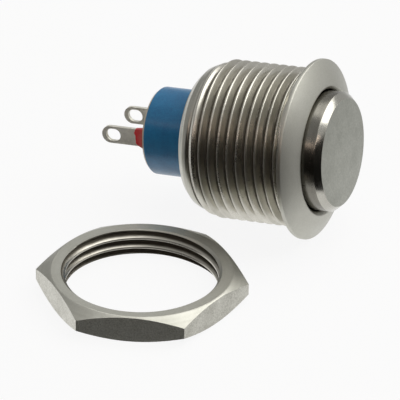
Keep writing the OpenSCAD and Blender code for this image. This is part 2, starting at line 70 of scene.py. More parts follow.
class Shape:
    """A mesh being shaped in millimetres, with the bmesh steps that the pieces share."""

    def __init__(self) -> None:
        """Starts an empty mesh."""
        self.bm = bmesh.new()

    def outline(self, points: Sequence[tuple[float, float]]) -> list:
        """Lays a half section's corners in the xz plane.

        Args:
            points: Radius and height of each corner.

        Returns:
            The new vertices and edges.
        """
        verts = [self.bm.verts.new((r, 0, z)) for r, z in points]
        edges = [self.bm.edges.new(pair) for pair in zip(verts, verts[1:])]
        return verts + edges

    def turn(self, points: Sequence[tuple[float, float]], steps: int = 128) -> None:
        """Turns a half section once round the z axis into a closed solid.

        Args:
            points: Radius and height of each corner.
            steps: Facets round the axis.
        """
        bmesh.ops.spin(self.bm, geom=self.outline(points), cent=(0, 0, 0), axis=(0, 0, 1), angle=2 * math.pi,
                       steps=steps, use_merge=True)
        bmesh.ops.remove_doubles(self.bm, verts=self.bm.verts, dist=1e-5)

    def screw(self, points: Sequence[tuple[float, float]], pitch: float, turns: int, steps: int) -> None:
        """Sweeps one pitch of a thread's section up a right-hand helix.

        Args:
            points: Radius and height of the section's corners, one pitch from first to last.
            pitch: Rise of one turn.
            turns: Whole turns to sweep.
            steps: Steps in one turn.
        """
        bmesh.ops.spin(self.bm, geom=self.outline(points), cent=(0, 0, 0), axis=(0, 0, 1),
                       dvec=(0, 0, pitch / steps), angle=2 * math.pi * turns, steps=steps * turns)
        bmesh.ops.remove_doubles(self.bm, verts=self.bm.verts, dist=1e-4)

    def radial(self, rule: Callable[[float, float], float]) -> None:
        """Moves each vertex to the radius that a rule gives.

        Args:
            rule: Takes a vertex's radius and height, and returns its new radius.
        """
        for v in self.bm.verts:
            r = math.hypot(v.co.x, v.co.y)
            k = rule(r, v.co.z) / r
            v.co.x *= k
            v.co.y *= k

    def cut_flat(self, z: float, keep_above: bool) -> list:
        """Cuts the mesh at a height and drops one side.

        Args:
            z: Height of the cut.
            keep_above: Whether the part above the cut stays.

        Returns:
            The edges along the cut.
        """
        everything = self.bm.verts[:] + self.bm.edges[:] + self.bm.faces[:]
        bmesh.ops.bisect_plane(self.bm, geom=everything, dist=1e-5, plane_co=(0, 0, z), plane_no=(0, 0, 1),
                               clear_outer=not keep_above, clear_inner=keep_above)
        return [e for e in self.bm.edges
                if e.is_boundary and abs(e.verts[0].co.z - z) < 1e-4 and abs(e.verts[1].co.z - z) < 1e-4]

    def score(self, z: float) -> None:
        """Cuts the faces along a height without dropping any.

        Args:
            z: Height of the cut.
        """
        bmesh.ops.bisect_plane(self.bm, geom=self.bm.verts[:] + self.bm.edges[:] + self.bm.faces[:], dist=1e-5,
                               plane_co=(0, 0, z), plane_no=(0, 0, 1))

    def draw_out(self, rim: list, r: float, z: float, finish: int = 0) -> list:
        """Extrudes a round rim to a new radius and height.

        Args:
            rim: The rim's edges.
            r: Radius of the new rim.
            z: Height of the new rim.
            finish: Material index of the new faces.

        Returns:
            The new rim's edges.
        """
        made = bmesh.ops.extrude_edge_only(self.bm, edges=rim)["geom"]
        fresh = {g for g in made if isinstance(g, bmesh.types.BMVert)}
        for v in fresh:
            k = r / math.hypot(v.co.x, v.co.y)
            v.co = (v.co.x * k, v.co.y * k, z)
        for g in made:
            if isinstance(g, bmesh.types.BMFace):
                g.material_index = finish
        return [g for g in made if isinstance(g, bmesh.types.BMEdge) and set(g.verts) <= fresh]

    def soften(self, offset: float, segments: int = 2, over: float = 30.0,
               choose: Callable[[bmesh.types.BMEdge], bool] | None = None) -> None:
        """Bevels the edges whose faces meet at a marked angle.

        Args:
            offset: Width of the bevel.
            segments: Rows of faces across it.
            over: Least angle between the faces, in degrees.
            choose: Further test that an edge has to pass.
        """
        sharp = [e for e in self.bm.edges if len(e.link_faces) == 2
                 and e.calc_face_angle(0) > math.radians(over) and (choose is None or choose(e))]
        bmesh.ops.bevel(self.bm, geom=sharp, offset=offset, offset_type="OFFSET", segments=segments, profile=0.5,
                        affect="EDGES", clamp_overlap=True, material=-1)

    def finish(self, name: str, place: Matrix, materials: Iterable[bpy.types.Material],
               sharp_over: float = 35.0) -> bpy.types.Object:
        """Closes the mesh, puts it in place and makes it an object.

        Args:
            name: The piece's name.
            place: Where it lies in the row's frame, in millimetres.
            materials: Its finishes, in the order of the material indices.
            sharp_over: Faces that meet at more than this many degrees keep a sharp edge.

        Returns:
            The finished object.
        """
        bmesh.ops.remove_doubles(self.bm, verts=self.bm.verts, dist=2e-5)
        bmesh.ops.recalc_face_normals(self.bm, faces=self.bm.faces)
        mesh = bpy.data.meshes.new(name)
        self.bm.to_mesh(mesh)
        self.bm.free()
        mesh.transform(TO_METRES @ place)
        mesh.shade_smooth()
        mesh.set_sharp_from_angle(angle=math.radians(sharp_over))
        for material in materials:
            mesh.materials.append(material)
        piece = bpy.data.objects.new(name, mesh)
        bpy.context.scene.collection.objects.link(piece)
        return piece


def settle(piece: bpy.types.Object, body: Body, slot: str, *nodes: str) -> None:
    """Lets a piece ride on its body in place of construction nodes, and reports it.

    Args:
        piece: The finished object.
        body: The body it rides on.
        slot: The record's material slot; not used.
        nodes: The nodes that it stands for.
    """
    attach(piece, body.value)
    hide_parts(*nodes)
    LOG.info("%s rides on %s in place of %s, %d faces", piece.name, body.value, ", ".join(nodes),
             len(piece.data.polygons))


class Shader:
    """A node tree with short calls to add nodes and links."""

    def __init__(self, tree: bpy.types.NodeTree) -> None:
        """Keeps the tree.

        Args:
            tree: The node tree to fill.
        """
        self.tree = tree

    def add(self, kind: str, out: int | str = 0, settings: dict | None = None, **inputs) -> bpy.types.NodeSocket:
        """Adds a node.

        Args:
            kind: The node's type name.
            out: The output to return.
            settings: Properties of the node.
            inputs: Values or sockets by input name, with _ for a space, or i0, i1 and so on by place.

        Returns:
            The chosen output socket.
        """
        node = self.tree.nodes.new(kind)
        for key, value in (settings or {}).items():
            setattr(node, key, value)
        for key, value in inputs.items():
            place = int(key[1:]) if key[0] == "i" and key[1:].isdigit() else key.replace("_", " ")
            socket = node.inputs[place]
            if isinstance(value, bpy.types.NodeSocket):
                self.tree.links.new(value, socket)
            else:
                socket.default_value = value
        return node.outputs[out]

    def math(self, operation: str, a, b=0.0) -> bpy.types.NodeSocket:
        """Adds a Math node.

        Args:
            operation: Its operation.
            a: First value or socket.
            b: Second value or socket.

        Returns:
            Its output.
        """
        return self.add("ShaderNodeMath", settings={"operation": operation}, i0=a, i1=b)

    def ramp(self, value: bpy.types.NodeSocket, low: float, high: float, to_low: float = 0.0,
             to_high: float = 1.0) -> bpy.types.NodeSocket:
        """Maps a value from one range to another, clamped.

        Args:
            value: The value.
            low: Value that becomes to_low.
            high: Value that becomes to_high.
            to_low: Result at low.
            to_high: Result at high.

        Returns:
            The mapped value.
        """
        return self.add("ShaderNodeMapRange", settings={"clamp": True}, i0=value, i1=low, i2=high, i3=to_low,
                        i4=to_high)

    def mix(self, share, a, b) -> bpy.types.NodeSocket:
        """Mixes two colours.

        Args:
            share: How much of the second colour.
            a: First colour.
            b: Second colour.

        Returns:
            The mixed colour.
        """
        return self.add("ShaderNodeMix", out=2, settings={"data_type": "RGBA"}, i0=share, i6=a, i7=b)

    def noise(self, vector: bpy.types.NodeSocket, scale: float, detail: float = 3.0,
              rough: float = 0.55) -> bpy.types.NodeSocket:
        """Adds a noise texture.

        Args:
            vector: Where to read it.
            scale: Its scale.
            detail: Its octaves.
            rough: Its roughness.

        Returns:
            Its value.
        """
        return self.add("ShaderNodeTexNoise", Vector=vector, Scale=scale, Detail=detail, Roughness=rough)


def rgba(r: float, g: float, b: float) -> tuple[float, float, float, float]:
    """An opaque linear colour."""
    return (r, g, b, 1.0)


class Effects:
    """Shader node groups that several finishes share, each built once."""

    def __init__(self) -> None:
        """Builds the groups."""
        self.rings = self._rings()
        self.grain = self._grain()
        self.smudges = self._smudges()
        self.specks = self._specks()

    @staticmethod
    def _start(name: str, inputs: dict[str, str], outputs: dict[str, str]) -> tuple:
        """Makes an empty group.

        Args:
            name: The group's name.
            inputs: Socket type by input name.
            outputs: Socket type by output name.

        Returns:
            The group, its shader helper, its input node and its output node.
        """
        group = bpy.data.node_groups.new(name, "ShaderNodeTree")
        for key, kind in inputs.items():
            group.interface.new_socket(key, in_out="INPUT", socket_type=kind)
        for key, kind in outputs.items():
            group.interface.new_socket(key, in_out="OUTPUT", socket_type=kind)
        return group, Shader(group), group.nodes.new("NodeGroupInput"), group.nodes.new("NodeGroupOutput")

    def _rings(self) -> bpy.types.NodeTree:
        """Fine lathe rings round the z axis of the vector, as height and mask."""
        group, s, given, result = self._start(
            "lathe_rings", {"Vector": "NodeSocketVector", "Scale": "NodeSocketFloat"},
            {"Height": "NodeSocketFloat", "Mask": "NodeSocketFloat"})
        parts = group.nodes.new("ShaderNodeSeparateXYZ")
        group.links.new(given.outputs["Vector"], parts.inputs[0])
        x, y, z = parts.outputs
        r = s.math("SQRT", s.math("ADD", s.math("MULTIPLY", x, x), s.math("MULTIPLY", y, y)))
        turn = s.math("MULTIPLY", s.math("ARCTAN2", y, x), 0.25)
        k = given.outputs["Scale"]
        where = s.add("ShaderNodeCombineXYZ", X=s.math("MULTIPLY", r, k), Y=s.math("MULTIPLY", z, k), Z=turn)
        fine = s.noise(where, 1.0, 2.0, 0.6)
        broad = s.noise(where, 0.17, 2.0, 0.5)
        height = s.math("ADD", s.math("MULTIPLY", fine, 0.7), s.math("MULTIPLY", broad, 0.3))
        group.links.new(height, result.inputs["Height"])
        group.links.new(s.ramp(broad, 0.35, 0.65), result.inputs["Mask"])
        return group

    def _grain(self) -> bpy.types.NodeTree:
        """Fine all-over grain, as height and mask."""
        group, s, given, result = self._start(
            "fine_grain", {"Vector": "NodeSocketVector", "Scale": "NodeSocketFloat"},
            {"Height": "NodeSocketFloat", "Mask": "NodeSocketFloat"})
        where = s.add("ShaderNodeVectorMath", settings={"operation": "SCALE"}, i0=given.outputs["Vector"],
                      Scale=given.outputs["Scale"])
        fine = s.noise(where, 1.0, 4.0, 0.65)
        pits = s.add("ShaderNodeTexVoronoi", Vector=where, Scale=0.8)
        height = s.math("ADD", s.math("MULTIPLY", fine, 0.7), s.math("MULTIPLY", pits, 0.3))
        group.links.new(height, result.inputs["Height"])
        group.links.new(s.ramp(fine, 0.35, 0.65), result.inputs["Mask"])
        return group

    def _smudges(self) -> bpy.types.NodeTree:
        """Broad soft patches of handling marks, as a mask."""
        group, s, given, result = self._start(
            "handling_smudges", {"Vector": "NodeSocketVector", "Scale": "NodeSocketFloat"},
            {"Mask": "NodeSocketFloat"})
        where = s.add("ShaderNodeVectorMath", settings={"operation": "SCALE"}, i0=given.outputs["Vector"],
                      Scale=given.outputs["Scale"])
        patches = s.noise(where, 1.0, 5.0, 0.6)
        group.links.new(s.ramp(patches, 0.32, 0.68), result.inputs["Mask"])
        return group

    def _specks(self) -> bpy.types.NodeTree:
        """Small scattered specks of dirt or wear, as a mask."""
        group, s, given, result = self._start(
            "small_specks", {"Vector": "NodeSocketVector", "Scale": "NodeSocketFloat", "Size": "NodeSocketFloat"},
            {"Mask": "NodeSocketFloat"})
        where = s.add("ShaderNodeVectorMath", settings={"operation": "SCALE"}, i0=given.outputs["Vector"],
                      Scale=given.outputs["Scale"])
        bent = s.add("ShaderNodeMixRGB", Fac=0.12, Color1=where, Color2=s.add("ShaderNodeTexNoise", out=1,
                                                                                Vector=where, Scale=2.0))
        cells = s.add("ShaderNodeTexVoronoi", Vector=bent, Scale=1.0)
        small = s.math("LESS_THAN", cells, given.outputs["Size"])
        chosen = s.math("GREATER_THAN", s.noise(where, 0.35, 1.0), 0.55)
        group.links.new(s.math("MULTIPLY", small, chosen), result.inputs["Mask"])
        return group


def blank_material(name: str) -> tuple[bpy.types.Material, Shader, bpy.types.Node]:
    """Makes a material with one Principled shader.

    Args:
        name: The material's name.

    Returns:
        The material, its shader helper and its Principled node.
    """
    material = bpy.data.materials.new(name)
    material.use_nodes = True
    tree = material.node_tree
    return material, Shader(tree), next(n for n in tree.nodes if n.type == "BSDF_PRINCIPLED")


def upright(s: Shader) -> bpy.types.NodeSocket:
    """Object coordinates in millimetres, turned back so that z is the switch's axis.

    Args:
        s: The material's shader helper.

    Returns:
        The vector.
    """
    place = s.add("ShaderNodeTexCoord", out="Object")
    return s.add("ShaderNodeMapping", settings={"vector_type": "TEXTURE"}, Vector=place,
                 Rotation=(0, math.pi / 2 - LIE_ANGLE, 0), Scale=(MM, MM, MM))


def on_table(s: Shader) -> bpy.types.NodeSocket:
    """Object coordinates in millimetres from the middle of the nut's foot.

    Args:
        s: The material's shader helper.

    Returns:
        The vector.
    """
    place = s.add("ShaderNodeTexCoord", out="Object")
    return s.add("ShaderNodeMapping", settings={"vector_type": "TEXTURE"}, Vector=place,
                 Location=(PanelNut.x * MM, PanelNut.y * MM, TABLE_Z * MM), Scale=(MM, MM, MM))


@dataclass(frozen=True)
class Steel:
    """Turned, blasted or ground steel with fine marks and faint handling smudges, and where set, painted shade in its
    thread grooves.
    """

    name: str
    tone: tuple[float, float, float]
    shade: tuple[float, float, float]
    roughness: float
    spread: float = 0.08
    ring_scale: float = 0.0
    ring_depth: float = 0.0
    grain_scale: float = 30.0
    grain_depth: float = 0.0
    lying: bool = True
    painted_groove_shade: tuple[float, float] | None = None

    def make(self, effects: Effects) -> bpy.types.Material:
        """Builds the material.

        Args:
            effects: The shared node groups.

        Returns:
            The material.
        """
        material, s, shader = blank_material(self.name)
        where = upright(s) if self.lying else on_table(s)
        smudge = s.add("ShaderNodeGroup", settings={"node_tree": effects.smudges}, Vector=where, Scale=0.45)
        grain = s.add("ShaderNodeGroup", settings={"node_tree": effects.grain}, Vector=where, Scale=self.grain_scale)
        height = s.math("MULTIPLY", grain, self.grain_depth)
        streak = grain.node.outputs["Mask"]
        if self.ring_depth:
            rings = s.add("ShaderNodeGroup", settings={"node_tree": effects.rings}, Vector=where,
                          Scale=self.ring_scale)
            height = s.math("ADD", height, s.math("MULTIPLY", rings, self.ring_depth))
            streak = s.math("ADD", s.math("MULTIPLY", streak, 0.4),
                            s.math("MULTIPLY", rings.node.outputs["Mask"], 0.6))
        worn = s.math("ADD", s.math("MULTIPLY", smudge, 0.4), s.math("MULTIPLY", streak, 0.6))
        colour = s.mix(worn, rgba(*self.tone), rgba(*self.shade))
        rough = s.ramp(worn, 0.0, 1.0, self.roughness - self.spread, self.roughness + self.spread)
        # Painted shade: by radius, toward the grooves of the thread, the base colour darkens to a dark brown-grey and
        # the roughness rises, standing in for the shade that falls in the grooves.
        if self.painted_groove_shade:
            parts = s.add("ShaderNodeSeparateXYZ", Vector=where).node.outputs
            r = s.math("SQRT", s.math("ADD", s.math("MULTIPLY", parts["X"], parts["X"]),
                                      s.math("MULTIPLY", parts["Y"], parts["Y"])))
            uneven = s.math("ADD", r, s.math("MULTIPLY", s.math("SUBTRACT", smudge, 0.5), 0.06))
            shade_share = s.ramp(uneven, *self.painted_groove_shade)
            colour = s.mix(shade_share, colour, rgba(0.11, 0.10, 0.08))
            rough = s.ramp(shade_share, 0.0, 1.0, rough, 0.6)
        s.tree.links.new(colour, shader.inputs["Base Color"])
        s.tree.links.new(rough, shader.inputs["Roughness"])
        shader.inputs["Metallic"].default_value = 1.0
        bump = s.add("ShaderNodeBump", Height=height, Strength=1.0, Distance=MM)
        s.tree.links.new(bump, shader.inputs["Normal"])
        return material


@dataclass(frozen=True)
class Moulding:
    """Moulded plastic or rubber with a faint grain."""

    name: str
    colour: tuple[float, float, float]
    worn: tuple[float, float, float]
    roughness: float
    grain_scale: float = 12.0
    grain_depth: float = 0.004
    coat: float = 0.0
    gloss: float = 0.5

    def make(self, effects: Effects) -> bpy.types.Material:
        """Builds the material.

        Args:
            effects: The shared node groups.

        Returns:
            The material.
        """
        material, s, shader = blank_material(self.name)
        where = upright(s)
        smudge = s.add("ShaderNodeGroup", settings={"node_tree": effects.smudges}, Vector=where, Scale=0.6)
        grain = s.add("ShaderNodeGroup", settings={"node_tree": effects.grain}, Vector=where, Scale=self.grain_scale)
        grain_mask = grain.node.outputs["Mask"]
        worn = s.math("ADD", s.math("MULTIPLY", smudge, 0.6), s.math("MULTIPLY", grain_mask, 0.4))
        s.tree.links.new(s.mix(worn, rgba(*self.colour), rgba(*self.worn)), shader.inputs["Base Color"])
        s.tree.links.new(s.ramp(worn, 0.0, 1.0, self.roughness - 0.06, self.roughness + 0.06),
                         shader.inputs["Roughness"])
        shader.inputs["Specular IOR Level"].default_value = self.gloss
        shader.inputs["Coat Weight"].default_value = self.coat
        shader.inputs["Coat Roughness"].default_value = 0.2
        bump = s.add("ShaderNodeBump", Height=s.math("MULTIPLY", grain, self.grain_depth), Strength=1.0, Distance=MM)
        s.tree.links.new(bump, shader.inputs["Normal"])
        return material


@dataclass(frozen=True)
class TinPlate:
    """Dull tin plate with darker specks and bright scuffs."""

    name: str
    tone: tuple[float, float, float]
    speck: tuple[float, float, float]
    scuff: tuple[float, float, float]
    roughness: float

    def make(self, effects: Effects) -> bpy.types.Material:
        """Builds the material.

        Args:
            effects: The shared node groups.

        Returns:
            The material.
        """
        material, s, shader = blank_material(self.name)
        where = upright(s)
        smudge = s.add("ShaderNodeGroup", settings={"node_tree": effects.smudges}, Vector=where, Scale=1.2)
        dark = s.add("ShaderNodeGroup", settings={"node_tree": effects.specks}, Vector=where, Scale=2.6, Size=0.28)
        light = s.add("ShaderNodeGroup", settings={"node_tree": effects.specks}, Vector=s.add(
            "ShaderNodeVectorMath", settings={"operation": "ADD"}, i0=where, i1=(7.3, 2.1, 4.7)), Scale=1.9, Size=0.22)
        grain = s.add("ShaderNodeGroup", settings={"node_tree": effects.grain}, Vector=where, Scale=9.0)
        base = s.mix(s.math("MULTIPLY", smudge, 0.8), rgba(*self.tone), rgba(*self.speck))
        base = s.mix(s.math("MULTIPLY", dark, 0.6), base, rgba(*self.speck))
        base = s.mix(s.math("MULTIPLY", light, 0.8), base, rgba(*self.scuff))
        s.tree.links.new(base, shader.inputs["Base Color"])
        s.tree.links.new(s.ramp(smudge, 0.0, 1.0, self.roughness - 0.08, self.roughness + 0.1),
                         shader.inputs["Roughness"])
        shader.inputs["Metallic"].default_value = 0.55
        bump = s.add("ShaderNodeBump", Height=s.math("MULTIPLY", grain, 0.012), Strength=1.0, Distance=MM)
        s.tree.links.new(bump, shader.inputs["Normal"])
        return material


@dataclass(frozen=True)
class Lacquer:
    """Red lacquer, brushed on, thin and rubbed in places."""

    name: str
    colour: tuple[float, float, float]
    thin: tuple[float, float, float]

    def make(self, effects: Effects) -> bpy.types.Material:
        """Builds the material.

        Args:
            effects: The shared node groups.

        Returns:
            The material.
        """
        material, s, shader = blank_material(self.name)
        where = upright(s)
        parts = s.add("ShaderNodeSeparateXYZ", Vector=where).node.outputs
        smudge = s.add("ShaderNodeGroup", settings={"node_tree": effects.smudges}, Vector=where, Scale=1.8)
        grain = s.add("ShaderNodeGroup", settings={"node_tree": effects.grain}, Vector=where, Scale=6.0)
        low = s.ramp(parts["X"], 0.3, 1.0)
        rear = s.ramp(parts["Z"], -17.9, -17.2, 0.0, 0.5)
        share = s.math("MINIMUM", s.math("ADD", s.math("ADD", low, rear), s.math("MULTIPLY", smudge, 0.35)), 1.0)
        s.tree.links.new(s.mix(share, rgba(*self.colour), rgba(*self.thin)), shader.inputs["Base Color"])
        s.tree.links.new(s.ramp(smudge, 0.0, 1.0, 0.28, 0.45), shader.inputs["Roughness"])
        shader.inputs["Coat Weight"].default_value = 0.4
        shader.inputs["Coat Roughness"].default_value = 0.2
        bump = s.add("ShaderNodeBump", Height=s.math("MULTIPLY", grain, 0.02), Strength=1.0, Distance=MM)
        s.tree.links.new(bump, shader.inputs["Normal"])
        return material


@dataclass(frozen=True)
class Finishes:
    """Every finish of the switch and its nut."""

    thread: bpy.types.Material
    lead: bpy.types.Material
    bezel: bpy.types.Material
    bore: bpy.types.Material
    button_face: bpy.types.Material
    button_side: bpy.types.Material
    button_bevel: bpy.types.Material
    nut_face: bpy.types.Material
    nut_flat: bpy.types.Material
    nut_thread: bpy.types.Material
    blue: bpy.types.Material
    tin: bpy.types.Material
    lacquer: bpy.types.Material
    resin: bpy.types.Material
    white: bpy.types.Material
    rubber: bpy.types.Material
    spring: bpy.types.Material
    brass: bpy.types.Material
    silver: bpy.types.Material

    @staticmethod
    def build(effects: Effects) -> "Finishes":
        """Makes every material.

        Args:
            effects: The shared node groups.

        Returns:
            The finishes.
        """
        warm, dim = (0.50, 0.485, 0.435), (0.36, 0.345, 0.30)
        return Finishes(
            # The thread's and the nut thread's last pair of numbers set the radii over which their painted groove
            # shade comes in.
            thread=Steel("turned_thread", (0.66, 0.64, 0.575), (0.40, 0.385, 0.33), 0.30, 0.06, 7.0, 0.008, 9.0,
                         0.006, True, (7.44, 7.345)).make(effects),
            lead=Steel("turned_lead_chamfer", (0.56, 0.55, 0.49), (0.38, 0.37, 0.32), 0.3, 0.06, 7.0, 0.006, 8.0,
                       0.006).make(effects),
            bezel=Steel("blasted_bezel", (0.56, 0.555, 0.50), (0.48, 0.475, 0.42), 0.44, 0.05, 0.0, 0.0, 8.0,
                        0.012).make(effects),
            bore=Steel("turned_bore", warm, dim, 0.38, 0.06, 30.0, 0.004).make(effects),
            button_face=Steel("satin_button_face", (0.51, 0.515, 0.46), (0.37, 0.375, 0.33), 0.42, 0.06, 0.0, 0.0, 6.0,
                              0.006).make(effects),
            # The side's tone is set at about half the face's: painted shade for the dark room that this side of the
            # button reflects.
            button_side=Steel("button_side_painted_shade", (0.25, 0.24, 0.21), (0.155, 0.148, 0.127), 0.25, 0.06, 9.0, 0.004,
                              7.0, 0.005).make(effects),
            button_bevel=Steel("polished_button_bevel", (0.48, 0.47, 0.425), (0.36, 0.35, 0.305), 0.18, 0.05, 9.0,
                               0.003, 5.0, 0.004).make(effects),
            nut_face=Steel("satin_nut_face", (0.55, 0.545, 0.49), (0.40, 0.395, 0.345), 0.42, 0.05, 9.0, 0.005, 7.0,
                           0.006, False).make(effects),
            nut_flat=Steel("drawn_nut_flat", (0.74, 0.73, 0.66), (0.36, 0.35, 0.30), 0.32, 0.06, 0.0, 0.0, 6.5,
                           0.012, False).make(effects),
            nut_thread=Steel("tapped_nut_thread", (0.54, 0.52, 0.46), (0.38, 0.36, 0.31), 0.3, 0.05, 9.0, 0.004,
                             9.0, 0.004, False, (7.56, 7.76)).make(effects),
            blue=Moulding("blue_housing", (0.013, 0.205, 0.43), (0.005, 0.12, 0.285), 0.42, 6.0, 0.014, 0.35,
                          0.5).make(effects),
            tin=TinPlate("dull_tin_plate", (0.88, 0.87, 0.79), (0.56, 0.55, 0.48), (0.93, 0.91, 0.85),
                         0.5).make(effects),
            lacquer=Lacquer("red_lacquer", (0.74, 0.012, 0.03), (0.60, 0.15, 0.12)).make(effects),
            resin=Moulding("cream_resin", (0.68, 0.61, 0.47), (0.60, 0.53, 0.40), 0.3, 5.0, 0.01, 0.3).make(effects),
            white=Moulding("white_moulding", (0.80, 0.79, 0.75), (0.74, 0.73, 0.69), 0.45).make(effects),
            rubber=Moulding("black_rubber", (0.022, 0.022, 0.023), (0.035, 0.035, 0.036), 0.6).make(effects),
            spring=Steel("spring_wire", (0.45, 0.45, 0.44), (0.36, 0.36, 0.35), 0.3).make(effects),
            brass=Steel("contact_brass", (0.72, 0.52, 0.24), (0.60, 0.42, 0.18), 0.3).make(effects),
            silver=Steel("contact_silver", (0.85, 0.84, 0.81), (0.74, 0.73, 0.70), 0.25).make(effects),
        )


@dataclass(frozen=True)
class ThreadForm:
    """A 60 degree screw thread's section."""

    pitch: float = 1.0
    crest_flat: float = 0.125

    def corners(self, root: float, crest: float, middle: float) -> list[tuple[float, float]]:
        """One pitch of an outer thread's ridge, with its crest and root eased.

        Args:
            root: Radius at the root.
            crest: Radius at the crest.
            middle: Height of the crest's middle.

        Returns:
            Radius and height of each corner, rising.
        """
        flank = (crest - root) * math.tan(math.radians(30))
        half = self.crest_flat / 2
        side = [(root, self.pitch / 2), (root, half + flank * 1.1), (root + 0.022, half + flank)]
        side += [(crest - (crest - root) * share, half + flank * share) for share in (0.87, 0.8, 0.2, 0.1)]
        side += [(crest - 0.02, half + flank * 0.01), (crest, half - 0.035)]
        lower = [(r, middle - z) for r, z in side]
        upper = [(r, middle + z) for r, z in reversed(side)]
        return lower + upper


@dataclass
class Barrel:
    """The turned barrel: bezel cone, flange, threaded body with its lead chamfer, bore and rolled rear lip."""

    thread_r: float = 7.95
    root_r: float = 7.3366
    first_crest: float = 0.47
    length: float = 11.6
    lead: float = 1.45
    worn_r: float = 7.08
    worn_slope: float = 0.45
    corners: tuple[float, float, float] = (-11.02, -10.6, -10.2)
    steps: int = 96
    thread: ThreadForm = ThreadForm()

    def build(self, finishes: Finishes) -> bpy.types.Object:
        """Makes the piece.

        Args:
            finishes: The switch's finishes.

        Returns:
            The finished object.
        """
        shape = Shape()
        turns = int(self.length / self.thread.pitch) + 3
        start = -self.first_crest - (turns - 1) * self.thread.pitch
        shape.screw(self.thread.corners(self.root_r, self.thread_r, start), self.thread.pitch, turns, self.steps)
        for z in self.corners:
            shape.score(z)
        shape.radial(self._turned)
        seat = shape.cut_flat(0, False)
        rear = shape.cut_flat(-self.length, True)
        for face in shape.bm.faces:
            if face.calc_center_median().z < self.corners[2]:
                face.material_index = 3
        rim = seat
        for r, z, finish in self._front():
            rim = shape.draw_out(rim, r, z, finish)
        for r, z in self._hollow():
            rim = shape.draw_out(rim, r, z, 2)
        rear = shape.draw_out(rear, 6.46, -self.length, 3)
        bmesh.ops.bridge_loops(shape.bm, edges=rim + rear)
        piece = shape.finish("switch_barrel", LAY_DOWN,
                             (finishes.thread, finishes.bezel, finishes.bore, finishes.lead))
        settle(piece, Body.SWITCH, "turned_steel", "barrel")
        return piece

    def _turned(self, r: float, z: float) -> float:
        """The radius left by the lead chamfer at the rear and by the plain collar at the seat."""
        collar = self.thread_r - max(0.0, (-0.53 - z) * 2.2)
        limit = self._outer(z)
        share = min(max(limit - self.root_r, 0.0) / (self.thread_r - self.root_r), 1.0)
        eased = self.root_r + (r - self.root_r) * share
        return min(max(eased, collar), limit)

    def _outer(self, z: float) -> float:
        """The radius at a height that the lead chamfer and the eased first threads leave."""
        chamfer = self.thread_r - self.lead + max(z + self.length, 0.0)
        return min(chamfer, self.worn_r + max(z - self.corners[0], 0.0) * self.worn_slope)

    @staticmethod
    def _front() -> list[tuple[float, float, int]]:
        """Rims of the flange, cone and bezel edge, from the seat to the mouth."""
        return [
            (7.99, 0, 0), (8.93, 0, 1), (8.98, 0.02, 1), (9.0, 0.07, 1), (9.0, 0.34, 1), (8.985, 0.39, 1),
            (8.95, 0.423, 1), (6.64, 1.46, 1), (6.58, 1.485, 1), (6.54, 1.497, 1), (6.48, 1.5, 1), (6.44, 1.485, 1),
            (6.13, 1.18, 1), (6.1, 1.12, 2),
        ]

    @staticmethod
    def _hollow() -> list[tuple[float, float]]:
        """Rims of the hollow, from the mouth to the rolled lip at the rear."""
        return [
            (6.1, -1.45), (4.5, -1.45), (4.5, -4.2), (6.187, -4.2), (6.187, -8.4), (6.587, -8.4), (6.587, -11.2),
            (5.887, -11.2), (5.887, -11.54), (5.92, -11.585), (5.98, -11.6),
        ]


@dataclass
class Button:
    """The turned button: satin face, polished bevel, round head and grooved stem."""

    face_r: float = 5.4
    head_r: float = 5.95
    rise: float = 3.25
    bevel: float = 0.6
    steps: int = 144

    def build(self, finishes: Finishes) -> bpy.types.Object:
        """Makes the piece.

        Args:
            finishes: The switch's finishes.

        Returns:
            The finished object.
        """
        shape = Shape()
        shape.turn(self._section(), self.steps)
        slope = self.rise - self.bevel
        for face in shape.bm.faces:
            middle = face.calc_center_median()
            r = math.hypot(middle.x, middle.y)
            if middle.z > self.rise - 0.012:
                face.material_index = 0
            elif middle.z > slope - 0.01 and r > self.face_r - 0.05:
                face.material_index = 2
            else:
                face.material_index = 1
        piece = shape.finish("switch_button", LAY_DOWN,
                             (finishes.button_face, finishes.button_side, finishes.button_bevel), 25.0)
        settle(piece, Body.BUTTON, "button_steel", "button_cap")
        return piece

    def _section(self) -> list[tuple[float, float]]:
        """Half section of the button, from its face to the spigot hole."""
        low = self.rise - self.bevel
        return [
            (0, self.rise), (self.face_r - 0.03, self.rise), (self.face_r - 0.008, self.rise - 0.004),
            (self.face_r + 0.012, self.rise - 0.018), (self.head_r - 0.035, low + 0.038),
            (self.head_r - 0.012, low + 0.008), (self.head_r, low - 0.03), (self.head_r, -0.17),
            (self.head_r - 0.03, -0.2), (4.45, -0.2), (4.45, -1.7), (3.75, -1.7), (3.75, -2.48), (4.45, -2.48),
            (4.45, -4.17), (3.8, -4.17), (3.8, -4.7), (4.45, -4.7), (4.45, -5.4), (3.1, -5.4), (3.1, -0.6),
            (1.03, -0.6), (1.03, 0.93), (0, 0.93),
        ]


@dataclass
class Housing:
    """The blue moulded housing: a flange held inside the barrel and the neck behind it, open for the resin."""

    neck_r: float = 4.425
    neck_end: float = -16.5
    edge: float = 0.16
    flange_r: float = 6.537
    steps: int = 128

    def build(self, finishes: Finishes) -> bpy.types.Object:
        """Makes the piece.

        Args:
            finishes: The switch's finishes.

        Returns:
            The finished object.
        """
        shape = Shape()
        shape.turn(self._section(), self.steps)
        piece = shape.finish("switch_housing", IN_MODULE, (finishes.blue,), 40.0)
        settle(piece, Body.SWITCH, "blue_plastic", "module_housing")
        return piece

    def _section(self) -> list[tuple[float, float]]:
        """Half section of the housing, from its cavity's floor round to the resin's pocket."""
        corner = [(self.neck_r - self.edge * (1 - math.cos(a)), self.neck_end + self.edge * (1 - math.sin(a)))
                  for a in (math.radians(k) for k in range(0, 91, 15))]
        return [
            (0, -14.5), (3.4, -14.5), (3.4, -9.7), (self.flange_r, -9.7), (self.flange_r, -11.2),
            (self.neck_r + 0.12, -11.2), (self.neck_r, -11.32), *corner,
            (3.93, self.neck_end), (3.875, self.neck_end + 0.06), (3.875, -15.7), (0, -15.7),
        ]


